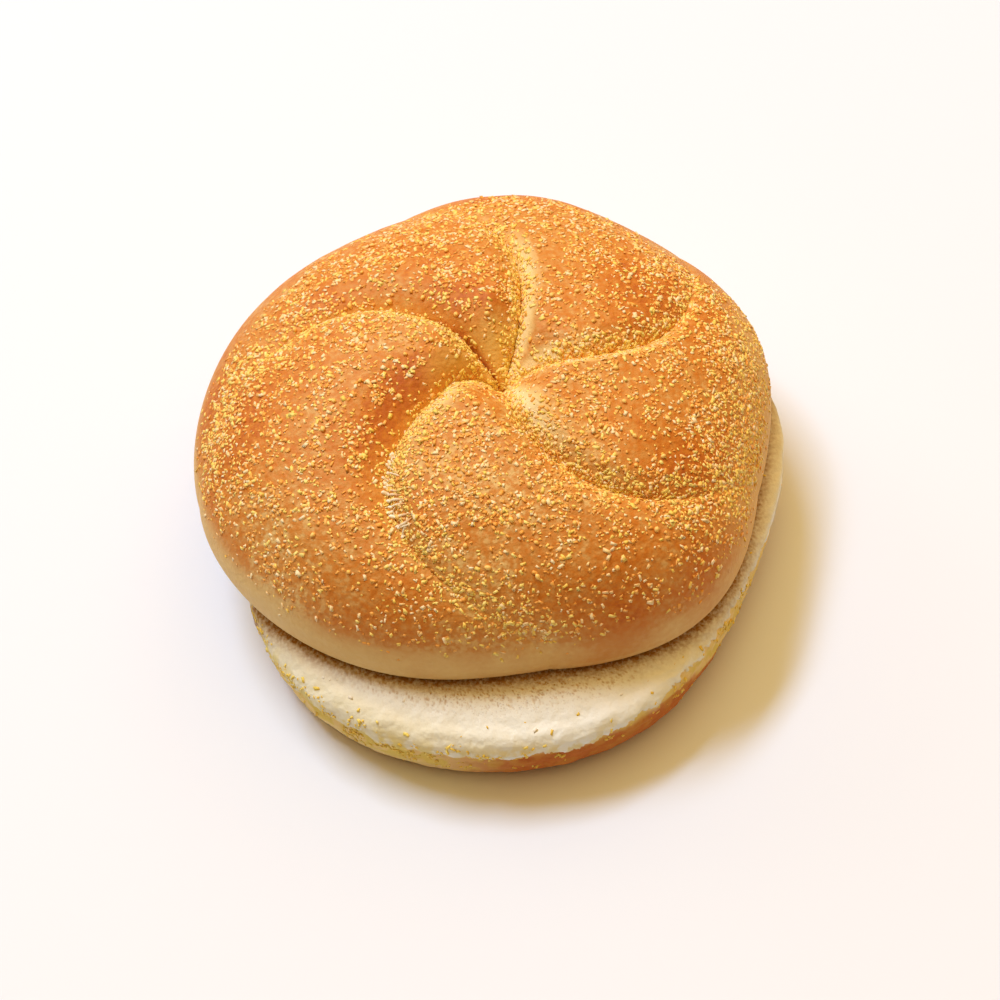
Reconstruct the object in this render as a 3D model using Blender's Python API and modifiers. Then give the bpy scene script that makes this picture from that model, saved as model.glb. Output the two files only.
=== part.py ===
"""A sliced hamburger bun of the five-fold kaiser kind, dusted with coarse cornmeal.

Two pieces: the crown, a dome whose five folds curl out from one deep point, lies on the
heel, the pale lower half, and has slid to its back left. Metres, +Z up, with the origin
on the table under the middle of the whole bun.
"""

import math
import random
from collections import namedtuple

import bmesh
import bpy
from mathutils import Euler, Matrix, Vector

# Heights, from the table up
HEEL_HEIGHT = 0.0175
CUT_GAP = 0.0003
BELLY_HEIGHT = 0.0034  # from the crown's cut face to its widest ring
DOME_RISE = 0.0284  # from the widest ring to the top of the dome, before the folds
DOME_FULLNESS = 2.15  # 2 is an ellipse, and more is squarer

# The plan. A wave is (waves in a turn, height, direction of one crest in degrees).
BUN_RADIUS = 0.0560
CROWN_WAVES = ((2, 0.0022, 21), (3, 0.0011, 75), (4, 0.0005, 39), (5, 0.0009, 22), (6, 0.0006, 21))
HEEL_WAVES = ((2, 0.0026, 45), (3, 0.0019, 24), (4, 0.0016, 36))
CROWN_CUT_SHARE = 0.978  # radius of the cut face, as a share of the widest ring
HEEL_SIDE_SHARE = 0.955
HEEL_BASE_SHARE = 0.85
CROWN_SLIDE = (-0.0041, 0.0113)  # the crown's axis, seen from the heel's

# The swirl. A fold's direction is where it starts at the pole, its turn on the way to the rim,
# its extra curl in the outer half and its hook beside the pole, all in degrees. It has a depth,
# and the widths of its rounded shoulders on the anticlockwise (left) and clockwise sides.
SWIRL_POLE = (0.0028, 0.0005)  # seen from the crown's axis
Fold = namedtuple("Fold", "start turn curl hook depth left right")
FOLDS = (
    Fold(4, 18, 29, 10, 0.0034, 0.0070, 0.0045),
    Fold(65, 37, 16, 0, 0.0048, 0.0065, 0.0050),
    Fold(122, 51, 22, 0, 0.0048, 0.0045, 0.0095),
    Fold(190, 66, 24, -36, 0.0062, 0.0048, 0.0140),
    Fold(273, 57, 15, 0, 0.0047, 0.0058, 0.0075),
)
HOOK_SHARE = 0.22  # share of the way to the rim by which the hook has ended
FULL_DEPTH_SHARE = 0.16  # where a fold reaches its depth
FADE_SHARES = (0.32, 0.92)  # and where it starts and stops growing shallower
DEPTH_LEFT = 0.1
SHOULDER_ROUNDNESS = 0.62  # 0.5 is a circle's quarter, and 1 a parabola
LIP_HEIGHT = 0.0005  # the roll stands a little proud where a shoulder begins
LIP_WIDTH = 0.0018
LOBE_SWELL = 0.0010
PIT_DEPTH = 0.0125
PIT_REACH = 0.0150
PIT_LEAN = 0.20  # the pit's sides are this much longer in one direction, and shorter opposite
PIT_LEAN_TOWARDS = 95

# The heel's rim rounds over most at the front, where nothing presses on it.
RIM_START = 0.78  # share of the radius where the cut face begins to fall
RIM_FALL = 0.0055
RIM_FALL_BACK = 0.0010
RIM_ROUNDNESS = 2.0  # 2 is an ellipse's quarter
BASE_ROUNDING = 0.0080

# Cornmeal, the largest grains
GRAIN_COUNT = 165
GRAIN_SIZE = 0.00110
GRAIN_REACH = 0.86  # share of the way to the rim that they cover
GRAIN_STAND = 0.12  # how far a grain's middle stands off the crust, as a share of its size
GRAIN_TUMBLE = 0.5  # radians that it may lean
GRAIN_SEED = 7

# How finely the two pieces are meshed
SPOKES_A_LOBE = 16
SPOKE_CROWDING = 0.62  # 0 spaces the spokes evenly, and 1 crowds them onto the folds
DOME_RINGS = 27
DOME_RING_CROWDING = 1.15  # 1 spaces the rings by a sine, and more crowds them at the pole
BELLY_RINGS = 4
HEEL_SPOKES = 72
RIM_RINGS = 7
SIDE_RINGS = 8

CRUST_COLOUR = (0.56, 0.24, 0.06)
CRUMB_COLOUR = (0.80, 0.66, 0.42)


def ease(low, high, value):
    """0 below low, 1 above high and a smooth step between."""
    t = min(1.0, max(0.0, (value - low) / (high - low)))
    return t * t * (3 - 2 * t)


def plan_radius(waves, angle):
    """The radius of a piece's outline in one direction."""
    return BUN_RADIUS + sum(h * math.cos(n * (angle - math.radians(d))) for n, h, d in waves)


def rim_from_pole(angle):
    """The crown's outline where a ray from the swirl's pole meets it."""
    x, y = SWIRL_POLE
    turn = math.asin((x * math.sin(angle) - y * math.cos(angle)) / BUN_RADIUS)
    from_axis = angle - turn
    radius = plan_radius(CROWN_WAVES, from_axis)
    return Vector((radius * math.cos(from_axis), radius * math.sin(from_axis)))


def dome_point(x, y):
    """The plain dome over a point of the plan, and the direction that it faces there."""
    reach = math.hypot(x, y)
    radius = plan_radius(CROWN_WAVES, math.atan2(y, x))
    share = min(1.0, reach / radius)
    rise = (1 - share**DOME_FULLNESS) ** (1 / DOME_FULLNESS)
    point = Vector((x, y, BELLY_HEIGHT + DOME_RISE * rise))
    if share < 1e-6:
        return point, Vector((0, 0, 1))
    steepness = share ** (DOME_FULLNESS - 1) * DOME_RISE / radius
    facing = Vector((x / reach * steepness, y / reach * steepness, rise ** (DOME_FULLNESS - 1)))
    return point, facing.normalized()


def fold_direction(fold, share):
    """Where a fold lies, as an angle about the pole, at a share of the way to the rim."""
    outer = max(0.0, 2 * share - 1)
    inner = max(0.0, 1 - share / HOOK_SHARE)
    return math.radians(fold.start + fold.turn * share + fold.curl * outer**1.5 + fold.hook * inner)


def lobe_edges(lobe, share):
    """The folds on both sides of a lobe, as angles, the second always past the first."""
    first = fold_direction(FOLDS[lobe], share)
    second = fold_direction(FOLDS[(lobe + 1) % len(FOLDS)], share)
    if second < first:
        second += 2 * math.pi
    return first, second


def narrowing(fold, share):
    """The width across a fold, as a share of the width measured along a ring."""
    outer = max(0.0, 2 * share - 1)
    turn = math.radians(fold.turn + 3 * fold.curl * outer**0.5)
    return 1 / math.sqrt(1 + (share * turn) ** 2)


def shoulder(distance, width):
    """How far a fold's rounded shoulder has fallen, from 1 in the crease to 0 at its width."""
    x = min(1.0, distance / max(width, 1e-6))
    return 1 - (1 - (1 - x) ** 2) ** SHOULDER_ROUNDNESS


def flank(fold, distance, width, share):
    """How far one side of a fold falls below the dome: a rounded shoulder with a slight lip."""
    depth = fold.depth * ease(0, FULL_DEPTH_SHARE, share)
    depth *= 1 - (1 - DEPTH_LEFT) * ease(*FADE_SHARES, share)
    lip = LIP_HEIGHT * math.exp(-(((distance - width) / LIP_WIDTH) ** 2))
    lip *= ease(0.1, 0.25, share) * (1 - ease(0.5, 0.8, share))
    return depth * shoulder(distance, width) - lip


def pit_drop(angle, share):
    """How far the folds' meeting point is sunk, at an angle about the pole."""
    lean = 1 + PIT_LEAN * math.cos(angle - math.radians(PIT_LEAN_TOWARDS))
    return PIT_DEPTH * max(0.0, 1 - share * BUN_RADIUS / (PIT_REACH * lean)) ** 2


def fold_drop(lobe, across, share):
    """How far the swirl presses the dome in, at a place across a lobe (0 to 1)."""
    before, after = FOLDS[lobe], FOLDS[(lobe + 1) % len(FOLDS)]
    first, second = lobe_edges(lobe, share)
    arc = share * BUN_RADIUS * (second - first)
    past_first = arc * across * narrowing(before, share)
    to_second = arc * (1 - across) * narrowing(after, share)
    widest = 0.6 * arc * narrowing(before, share)
    pressed = max(
        flank(before, past_first, min(before.left, widest), share),
        flank(after, to_second, min(after.right, widest), share),
    )
    swell = LOBE_SWELL * math.sin(math.pi * across) * ease(0.25, 0.6, share) * (1 - ease(0.8, 1, share))
    return pressed + pit_drop(first + (second - first) * across, share) - swell


def crown_point(lobe, across, share):
    """The crown's top surface, at a place across a lobe and a share of the way to the rim."""
    first, second = lobe_edges(lobe, share)
    angle = first + (second - first) * across
    pole = Vector(SWIRL_POLE)
    plan = pole + share * (rim_from_pole(angle) - pole)
    point, facing = dome_point(plan.x, plan.y)
    return point - facing * fold_drop(lobe, across, share)


def crowded(place):
    """Moves a place across a lobe (0 to 1) towards the nearer fold."""
    return place - SPOKE_CROWDING * math.sin(2 * math.pi * place) / (2 * math.pi)


def turned_body(name, profile, spokes, colour, roughness):
    """A closed body turned about Z from a profile of (radius, height) points."""
    mesh = bpy.data.meshes.new(name)
    edges = [(i, i + 1) for i in range(len(profile) - 1)]
    mesh.from_pydata([(radius, 0.0, height) for radius, height in profile], edges, [])
    body = bpy.data.objects.new(name, mesh)
    PARTS.objects.link(body)
    turn = body.modifiers.new("turn", "SCREW")
    turn.steps = turn.render_steps = spokes
    turn.use_merge_vertices = True
    turn.merge_threshold = 0.00001
    apply_modifiers(body)
    body.data.materials.append(plain_material(name, colour, roughness))
    return body


def apply_modifiers(body):
    """Swaps a body's mesh for the one that its modifiers make."""
    bpy.context.view_layer.update()
    seen = body.evaluated_get(bpy.context.evaluated_depsgraph_get())
    finished = bpy.data.meshes.new_from_object(seen)
    finished.name = body.name
    body.modifiers.clear()
    body.data = finished


def plain_material(name, colour, roughness):
    material = bpy.data.materials.new(name)
    material.use_nodes = True
    shader = material.node_tree.nodes["Principled BSDF"]
    shader.inputs["Base Color"].default_value = (*colour, 1.0)
    shader.inputs["Roughness"].default_value = roughness
    shader.inputs["Metallic"].default_value = 0.0
    return material


def crown_profile():
    """The plain dome's turned profile: radii are shares of the widest ring."""
    top = []
    for ring in range(DOME_RINGS + 1):
        share = math.sin(math.pi / 2 * (ring / DOME_RINGS) ** DOME_RING_CROWDING)
        height = BELLY_HEIGHT + DOME_RISE * (1 - share**DOME_FULLNESS) ** (1 / DOME_FULLNESS)
        top.append((share, height))
    side = []
    for ring in range(1, BELLY_RINGS + 1):
        down = ring / BELLY_RINGS
        side.append((1 - (1 - CROWN_CUT_SHARE) * down**2, BELLY_HEIGHT * (1 - down)))
    return [*top, *side, (0.0, 0.0)]


def spoke_place(x, y):
    """The lobe, and the place across it, that a spoke of the turned body belongs to."""
    turn = math.atan2(y, x) / (2 * math.pi) % 1.0 * len(FOLDS)
    lobe = int(turn) % len(FOLDS)
    return lobe, crowded(turn - int(turn))


def make_crown():
    """The domed top: turned plain, then drawn out to its plan and pressed in at its folds."""
    crown = turned_body("crown", crown_profile(), SPOKES_A_LOBE * len(FOLDS), CRUST_COLOUR, 0.6)
    for vertex in crown.data.vertices:
        x, y, height = vertex.co
        share = min(1.0, math.hypot(x, y))
        lobe, across = spoke_place(x, y)
        if height >= BELLY_HEIGHT - 1e-7:
            vertex.co = crown_point(lobe, across, share)
        else:
            rim = crown_point(lobe, across, 1.0)
            vertex.co = (rim.x * share, rim.y * share, height)
    merge_pole(crown)
    return crown


def merge_pole(body):
    """Welds the ring of points that the pole of a turned body has become."""
    mesh = bmesh.new()
    mesh.from_mesh(body.data)
    bmesh.ops.remove_doubles(mesh, verts=mesh.verts, dist=0.00001)
    mesh.to_mesh(body.data)
    mesh.free()


def crust_facing(lobe, across, share):
    """The direction that the crown's surface faces at one place."""
    step = 0.004
    here = crown_point(lobe, across, share)
    outward = crown_point(lobe, across, share + step) - here
    around = crown_point(lobe, across + (step if across < 0.5 else -step), share) - here
    facing = outward.cross(around).normalized()
    return facing if facing.z > 0 else -facing


def make_grain(number, place, collection):
    """One cornmeal grain: a small angular stone of its own size, lying on the crust."""
    size = GRAIN_SIZE * random.uniform(0.8, 1.15)
    mesh = bmesh.new()
    bmesh.ops.create_icosphere(mesh, subdivisions=1, radius=size / 2)
    stretch = Matrix.Diagonal((random.uniform(1.0, 1.35), random.uniform(0.8, 1.0), 0.85, 1.0))
    lean = [random.uniform(-GRAIN_TUMBLE, GRAIN_TUMBLE) for _ in range(2)]
    tumble = Euler([*lean, random.uniform(0, 2 * math.pi)]).to_matrix().to_4x4()
    bmesh.ops.transform(mesh, matrix=tumble @ stretch, verts=mesh.verts)
    data = bpy.data.meshes.new(f"grain_{number}")
    mesh.to_mesh(data)
    mesh.free()
    facing = crust_facing(*place)
    grain = bpy.data.objects.new(data.name, data)
    grain.location = crown_point(*place) + facing * size * GRAIN_STAND
    grain.rotation_euler = facing.to_track_quat("Z", "Y").to_euler()
    grain.display_type = "WIRE"
    grain.hide_render = True
    collection.objects.link(grain)


def grain_places():
    """Evenly spread places on the crown, each turned on by the golden angle from the last."""
    golden = math.pi * (3 - math.sqrt(5))
    bare_middle = 4  # so many turns are left out round the pole
    for number in range(GRAIN_COUNT):
        share = GRAIN_REACH * math.sqrt((number + bare_middle) / (GRAIN_COUNT + bare_middle))
        share += random.uniform(-0.02, 0.02)
        angle = (number * golden + random.uniform(-0.06, 0.06)) % (2 * math.pi)
        for lobe in range(len(FOLDS)):
            first, second = lobe_edges(lobe, share)
            across = (angle - first) % (2 * math.pi) / (second - first)
            if across < 1:
                yield lobe, across, share


def dust_with_grains(crown):
    """Fuses the largest cornmeal grains to the crown by one union."""
    random.seed(GRAIN_SEED)
    grains = bpy.data.collections.new("grains")
    bpy.context.scene.collection.children.link(grains)
    for number, place in enumerate(grain_places()):
        make_grain(number, place, grains)
    fuse = crown.modifiers.new("fuse grains", "BOOLEAN")
    fuse.operation = "UNION"
    fuse.operand_type = "COLLECTION"
    fuse.collection = grains
    fuse.solver = "EXACT"
    apply_modifiers(crown)
    for grain in list(grains.objects):
        bpy.data.objects.remove(grain)
    bpy.data.collections.remove(grains)


def heel_profile():
    """The heel's turned profile: radii are shares of its plan, heights before the rim's fall."""
    top = [(0.0, HEEL_HEIGHT)]
    for ring in range(RIM_RINGS + 1):
        over = math.sin(math.pi / 2 * ring / RIM_RINGS)
        top.append((RIM_START + (HEEL_SIDE_SHARE - RIM_START) * over, HEEL_HEIGHT))
    side = []
    for ring in range(1, SIDE_RINGS + 1):
        height = (HEEL_HEIGHT - RIM_FALL) * (1 - ring / SIDE_RINGS)
        near_base = max(0.0, 1 - height / BASE_ROUNDING)
        tuck = (HEEL_SIDE_SHARE - HEEL_BASE_SHARE) * (1 - math.sqrt(1 - near_base**2))
        side.append((HEEL_SIDE_SHARE - tuck, height))
    return [*top, *side, (0.0, 0.0)]


def rim_fall(angle):
    """How far the rim has rounded over: most at the front, least at the back."""
    front = ease(-0.3, 1.0, -math.sin(angle))
    return RIM_FALL_BACK + (RIM_FALL - RIM_FALL_BACK) * front


def make_heel():
    """The lower half: a low round slab with its cut face up and a rounded base."""
    heel = turned_body("heel", heel_profile(), HEEL_SPOKES, CRUMB_COLOUR, 0.85)
    for vertex in heel.data.vertices:
        x, y, height = vertex.co
        share = math.hypot(x, y)
        angle = math.atan2(y, x)
        fall = rim_fall(angle)
        if height > HEEL_HEIGHT - RIM_FALL:
            over = min(1.0, max(0.0, share - RIM_START) / (HEEL_SIDE_SHARE - RIM_START))
            height = HEEL_HEIGHT - fall * (1 - (1 - over**RIM_ROUNDNESS) ** (1 / RIM_ROUNDNESS))
        else:
            height *= (HEEL_HEIGHT - fall) / (HEEL_HEIGHT - RIM_FALL)
        radius = share * plan_radius(HEEL_WAVES, angle)
        vertex.co = (radius * math.cos(angle), radius * math.sin(angle), height)
    return heel


def centre_on_table(pieces):
    """Slides all the pieces so that the origin is under the middle of the bun, on the table."""
    bpy.context.view_layer.update()
    corners = [piece.matrix_world @ Vector(corner) for piece in pieces for corner in piece.bound_box]
    low = Vector(min(c[axis] for c in corners) for axis in range(3))
    high = Vector(max(c[axis] for c in corners) for axis in range(3))
    middle = (low + high) / 2
    for piece in pieces:
        piece.location -= Vector((middle.x, middle.y, low.z))


for old in list(bpy.data.objects):
    bpy.data.objects.remove(old)
PARTS = bpy.data.collections.new("hamburger bun")
bpy.context.scene.collection.children.link(PARTS)

heel_piece = make_heel()
crown_piece = make_crown()
dust_with_grains(crown_piece)
crown_piece.location = (*CROWN_SLIDE, HEEL_HEIGHT + CUT_GAP)
for piece in (heel_piece, crown_piece):
    piece.data.shade_smooth()
    piece.data.set_sharp_from_angle(angle=math.radians(40))
centre_on_table([heel_piece, crown_piece])
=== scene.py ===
import math
import random

import bmesh
import bpy
import numpy as np
from mathutils import Euler, Matrix, Vector, kdtree, noise


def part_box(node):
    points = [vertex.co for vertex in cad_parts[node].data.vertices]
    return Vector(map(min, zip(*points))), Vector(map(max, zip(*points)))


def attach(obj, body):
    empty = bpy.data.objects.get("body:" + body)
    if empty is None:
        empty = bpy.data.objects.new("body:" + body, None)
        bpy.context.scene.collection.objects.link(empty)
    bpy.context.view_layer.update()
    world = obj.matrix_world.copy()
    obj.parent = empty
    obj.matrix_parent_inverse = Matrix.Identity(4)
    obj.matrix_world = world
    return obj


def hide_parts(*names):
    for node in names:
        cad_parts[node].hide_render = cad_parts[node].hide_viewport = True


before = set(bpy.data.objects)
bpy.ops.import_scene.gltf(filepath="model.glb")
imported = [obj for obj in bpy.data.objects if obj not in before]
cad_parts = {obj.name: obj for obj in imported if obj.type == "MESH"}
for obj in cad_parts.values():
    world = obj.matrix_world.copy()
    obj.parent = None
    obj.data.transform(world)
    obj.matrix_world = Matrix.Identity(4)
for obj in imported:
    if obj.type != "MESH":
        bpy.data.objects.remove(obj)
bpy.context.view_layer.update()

# ---------------------------------------------------------------------------------------------
# The crown: the top half of a kaiser bun, wheat dough stamped into five lobes that curl out from
# one deep middle. Baked, its lobes brown and the skin down in the folds stays pale and stretched.
# Below it is cut flat with a bread knife, and it lies loose on the heel.
MM = 0.001
BUN_RADIUS = 56 * MM
# The outline's waves: how many go round, how high in mm, and where a crest lies in degrees
CROWN_WAVES = ((2, 2.2, 21), (3, 1.1, 75), (4, 0.5, 39), (5, 0.9, 22), (6, 0.6, 21))
CROWN_CUT_SHARE = 0.978
BELLY_HEIGHT = 3.4 * MM
DOME_RISE = 28.4 * MM
DOME_FULLNESS = 2.15

# The five folds, anticlockwise from the right: where each starts at the pole, how far it turns and
# then curls on its way to the rim, and how it hooks at the pole, in degrees, and how deep it is
SWIRL_POLE = np.array([2.8, 0.5]) * MM
FOLD_START = np.array([4, 65, 122, 190, 273])
FOLD_TURN = np.array([18, 37, 51, 66, 57])
FOLD_CURL = np.array([29, 16, 22, 24, 15])
FOLD_HOOK = np.array([10, 0, 0, -36, 0])
FOLD_DEPTH = np.array([3.4, 4.8, 4.8, 6.2, 4.7]) * MM
LEFT_SHOULDER = np.array([7.0, 6.5, 4.5, 4.8, 5.8]) * MM
RIGHT_SHOULDER = np.array([4.5, 5.0, 9.5, 14.0, 7.5]) * MM
HOOK_SHARE = 0.22
FULL_DEPTH_SHARE = 0.16
FADE_SHARES = (0.32, 0.92)
DEPTH_LEFT = 0.1
SHOULDER_ROUNDNESS = 0.62
LIP_HEIGHT = 0.5 * MM
LIP_WIDTH = 1.8 * MM
LIP_FROM = (0.1, 0.25)
LIP_UNTIL = (0.5, 0.8)
WIDEST_SHOULDER = 0.6
LOBE_SWELL = 1.0 * MM
SWELL_FROM = (0.25, 0.6)
SWELL_UNTIL = (0.8, 1)
PIT_DEPTH = 12.5 * MM
PIT_REACH = 15 * MM
PIT_LEAN = 0.20
PIT_LEAN_TOWARDS = math.radians(95)

# Finer than the solid: a torn crack at the bottom of each fold, and the skin's own unevenness
CRACK_DEPTH = np.array([0.1, 0.1, 1.8, 0.3, 0.1]) * MM
CRACK_WIDTH = 0.6 * MM
CRACK_WAVE = 1.7 * MM
CRACK_FROM = (0.0, 0.08)
CRACK_UNTIL = (0.22, 0.45)
HOLE_DEPTH = 2.4 * MM
HOLE_WIDTH = 1.2 * MM
SKIN_LUMPS = ((11 * MM, 0.22 * MM), (3.5 * MM, 0.07 * MM))

SPOKES_A_LOBE = 68
SPOKE_CROWDING = 0.62
DOME_RINGS = 250
RING_CROWDING = 1.1
BELLY_RINGS = 22
CUT_RINGS = 12


def ease(low, high, value):
    """0 below low, 1 above high and a smooth step between."""
    t = np.clip((value - low) / (high - low), 0, 1)
    return t * t * (3 - 2 * t)


def plan_radius(waves, angle):
    """The radius of a piece's outline in some directions."""
    swing = [high * MM * np.cos(count * (angle - math.radians(crest))) for count, high, crest in waves]
    return BUN_RADIUS + sum(swing)


def rim_from_pole(angle):
    """The crown's outline where rays from the swirl's pole meet it."""
    x, y = SWIRL_POLE
    from_axis = angle - np.arcsin((x * np.sin(angle) - y * np.cos(angle)) / BUN_RADIUS)
    radius = plan_radius(CROWN_WAVES, from_axis)
    return np.stack([radius * np.cos(from_axis), radius * np.sin(from_axis)], -1)


def plain_dome(plan):
    """The dome without its folds over points of the plan, and the directions it faces there."""
    reach = np.hypot(plan[:, 0], plan[:, 1])
    radius = plan_radius(CROWN_WAVES, np.arctan2(plan[:, 1], plan[:, 0]))
    share = np.minimum(1.0, reach / radius)
    rise = (1 - share**DOME_FULLNESS) ** (1 / DOME_FULLNESS)
    steepness = share ** (DOME_FULLNESS - 1) * DOME_RISE / radius / np.maximum(reach, 1e-9)
    facing = np.column_stack([plan * steepness[:, None], rise ** (DOME_FULLNESS - 1)])
    facing /= np.linalg.norm(facing, axis=1)[:, None]
    return np.column_stack([plan, BELLY_HEIGHT + DOME_RISE * rise]), facing


def fold_direction(fold, share):
    """Where folds lie, as angles about the pole, at shares of the way to the rim."""
    outer = np.maximum(0.0, 2 * share - 1)
    inner = np.maximum(0.0, 1 - share / HOOK_SHARE)
    degrees = FOLD_START[fold] + FOLD_TURN[fold] * share
    return np.radians(degrees + FOLD_CURL[fold] * outer**1.5 + FOLD_HOOK[fold] * inner)


def lobe_sides(lobe, share):
    """The directions of the folds on both sides of lobes, the second one counted past the first."""
    first = fold_direction(lobe, share)
    second = fold_direction((lobe + 1) % 5, share)
    return first, np.where(second < first, second + 2 * math.pi, second)


def narrowing(fold, share):
    """The width across a fold, as a share of the width measured along a ring, from how fast
    the fold turns there."""
    turn = np.radians(FOLD_TURN[fold] + 3 * FOLD_CURL[fold] * np.maximum(0.0, 2 * share - 1) ** 0.5)
    return 1 / np.sqrt(1 + (share * turn) ** 2)


def flank(fold, distance, width, share):
    """How far one side of a fold falls below the dome: a rounded shoulder with a slight lip."""
    x = np.minimum(1.0, distance / np.maximum(width, 1e-6))
    shoulder = 1 - (1 - (1 - x) ** 2) ** SHOULDER_ROUNDNESS
    depth = FOLD_DEPTH[fold] * ease(0, FULL_DEPTH_SHARE, share)
    depth = depth * (1 - (1 - DEPTH_LEFT) * ease(*FADE_SHARES, share))
    lip = LIP_HEIGHT * np.exp(-(((distance - width) / LIP_WIDTH) ** 2))
    lip = lip * ease(*LIP_FROM, share) * (1 - ease(*LIP_UNTIL, share))
    return depth * shoulder - lip


def swirl(lobe, across, share):
    """The folds' pressing at places across the lobes, with the distances to the fold on each side."""
    after = (lobe + 1) % 5
    first, second = lobe_sides(lobe, share)
    angle = first + (second - first) * across
    arc = share * BUN_RADIUS * (second - first)
    past_first = arc * across * narrowing(lobe, share)
    to_second = arc * (1 - across) * narrowing(after, share)
    widest = WIDEST_SHOULDER * arc * narrowing(lobe, share)
    pressed = np.maximum(
        flank(lobe, past_first, np.minimum(LEFT_SHOULDER[lobe], widest), share),
        flank(after, to_second, np.minimum(RIGHT_SHOULDER[after], widest), share),
    )
    lean = 1 + PIT_LEAN * np.cos(angle - PIT_LEAN_TOWARDS)
    pit = PIT_DEPTH * np.maximum(0.0, 1 - share * BUN_RADIUS / (PIT_REACH * lean)) ** 2
    swell = LOBE_SWELL * np.sin(math.pi * across)
    swell = swell * ease(*SWELL_FROM, share) * (1 - ease(*SWELL_UNTIL, share))
    return angle, pressed + pit - swell, past_first, to_second


def lumps(points, sizes):
    """The uneven skin of dough at given points: each size is a lump's width and its height."""
    total = np.zeros(len(points))
    for width, height in sizes:
        total += height * np.array([noise.noise(Vector(p) / width) for p in points])
    return total


def cloudy(points, width, *detail):
    """Fractal noise at given points, with lumps of a given width."""
    return np.array([noise.fractal(Vector(p) / width, *detail) for p in points])


def grid_faces(rings, spokes):
    """Quads of a closed polar grid, ring by ring."""
    ring, spoke = np.meshgrid(np.arange(rings - 1), np.arange(spokes), indexing="ij")
    here = ring * spokes + spoke
    beside = ring * spokes + (spoke + 1) % spokes
    return np.stack([here, here + spokes, beside + spokes, beside], -1).reshape(-1, 4)


def set_field(mesh, field, values):
    """Gives every point of a mesh its value of a field that the materials read."""
    layer = mesh.attributes.get(field) or mesh.attributes.new(field, "FLOAT", "POINT")
    layer.data.foreach_set("value", values.astype(np.float32))


def field_values(mesh, field):
    """The values of a field at the mesh's points."""
    values = np.zeros(len(mesh.vertices), np.float32)
    mesh.attributes[field].data.foreach_get("value", values)
    return values


def point_places(mesh):
    """The mesh's points as rows of x, y and z."""
    places = np.zeros(len(mesh.vertices) * 3, np.float32)
    mesh.vertices.foreach_get("co", places)
    return places.reshape(-1, 3)


def make_mesh(name, points, faces, fields):
    """A mesh object from points and faces, with a value at every point for each named field."""
    mesh = bpy.data.meshes.new(name)
    mesh.vertices.add(len(points))
    mesh.vertices.foreach_set("co", points.astype(np.float32).ravel())
    sides = faces.shape[1]
    mesh.loops.add(faces.size)
    mesh.loops.foreach_set("vertex_index", faces.astype(np.int32).ravel())
    mesh.polygons.add(len(faces))
    mesh.polygons.foreach_set("loop_start", np.arange(0, faces.size, sides, dtype=np.int32))
    mesh.update(calc_edges=True)
    for field, values in fields.items():
        set_field(mesh, field, values)
    piece = bpy.data.objects.new(name, mesh)
    bpy.context.scene.collection.objects.link(piece)
    return piece


def close_pole(piece):
    """Welds the rings of points that have shrunk to one, and drops the faces that this leaves flat."""
    mesh = bmesh.new()
    mesh.from_mesh(piece.data)
    bmesh.ops.remove_doubles(mesh, verts=mesh.verts, dist=1e-6)
    mesh.to_mesh(piece.data)
    mesh.free()


def set_in_frame(piece, node):
    """Moves a piece onto the solid it stands for, and gives the place of its own axis there."""
    low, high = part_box(node)
    places = point_places(piece.data).astype(float)
    middle = (places.min(axis=0) + places.max(axis=0)) / 2
    axis = Vector([(low.x + high.x) / 2 - middle[0], (low.y + high.y) / 2 - middle[1], low.z])
    piece.data.transform(Matrix.Translation(axis))
    return axis


def crown_top():
    """The dome's points from the pole out to the widest ring, with what the crust's looks need."""
    rows = np.linspace(0, 1, DOME_RINGS + 1)
    shares = np.sin(math.pi / 2 * rows**RING_CROWDING)
    places = np.arange(5 * SPOKES_A_LOBE) / SPOKES_A_LOBE
    share, place = (a.ravel() for a in np.meshgrid(shares, places, indexing="ij"))
    lobe = place.astype(int)
    across = place - lobe
    across = across - SPOKE_CROWDING * np.sin(2 * math.pi * across) / (2 * math.pi)
    angle, drop, past_first, to_second = swirl(lobe, across, share)
    after = (lobe + 1) % 5

    # The crack at the bottom of a fold, ragged along its length
    along = share * BUN_RADIUS
    ragged = 0.7 + 0.3 * np.sin(along / CRACK_WAVE + 2 * lobe)
    for fold, distance in ((lobe, past_first), (after, to_second)):
        crack = CRACK_DEPTH[fold] * np.exp(-distance / CRACK_WIDTH) * ease(*CRACK_FROM, share)
        drop = drop + crack * ragged * (1 - ease(*CRACK_UNTIL, share))

    drop = drop + HOLE_DEPTH * np.exp(-((along / HOLE_WIDTH) ** 2))
    plan = SWIRL_POLE + share[:, None] * (rim_from_pole(angle) - SWIRL_POLE)
    points, facing = plain_dome(plan)
    points = points - facing * drop[:, None]
    points = points + facing * (lumps(points, SKIN_LUMPS) * (1 - ease(0.9, 1.0, share)))[:, None]
    return points, share, lobe, past_first, to_second


# How wide the pale skin shows on each side of the folds, and how far out along them
PALE_LEFT = np.array([3.6, 1.8, 3.2, 4.2, 5.0]) * MM
PALE_RIGHT = np.array([2.6, 3.3, 0.6, 0.4, 0.8]) * MM
PALE_LEFT_UNTIL = np.array([0.34, 0.6, 0.6, 0.42, 0.36])
PALE_RIGHT_UNTIL = np.full(5, 0.6)
PALE_FADE = 0.16
PALE_SPREAD = 1.0 * MM
OCHRE_WIDTH = 1.3 * MM
# How pale the side is low down, and how much paler still at its front left
SIDE_PALE = 0.38
SIDE_PALER = 0.24
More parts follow.
